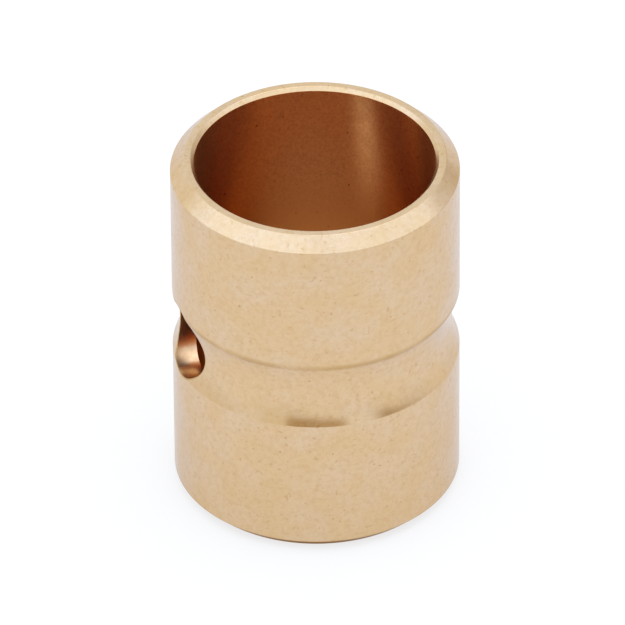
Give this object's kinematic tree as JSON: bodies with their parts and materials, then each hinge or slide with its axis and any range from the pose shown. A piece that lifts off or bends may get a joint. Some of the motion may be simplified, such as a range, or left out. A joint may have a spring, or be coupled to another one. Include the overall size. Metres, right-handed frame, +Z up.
{
  "type": "sleeve bushing",
  "caption": "Plain bronze sleeve bushing with chamfered ends, an oil groove round its outside and a radial oil hole.",
  "frame": {"origin": "middle of the lower end face, on the bore's axis", "axes": "+Z up along the bore's axis; the radial oil hole is at -X, half way up"},
  "size_m": [0.024, 0.024, 0.0317],
  "materials": {
    "bronze": "fine-turned bronze, satin"
  },
  "bodies": {
    "root": {"bushing": "bronze"}
  },
  "joints": []
}
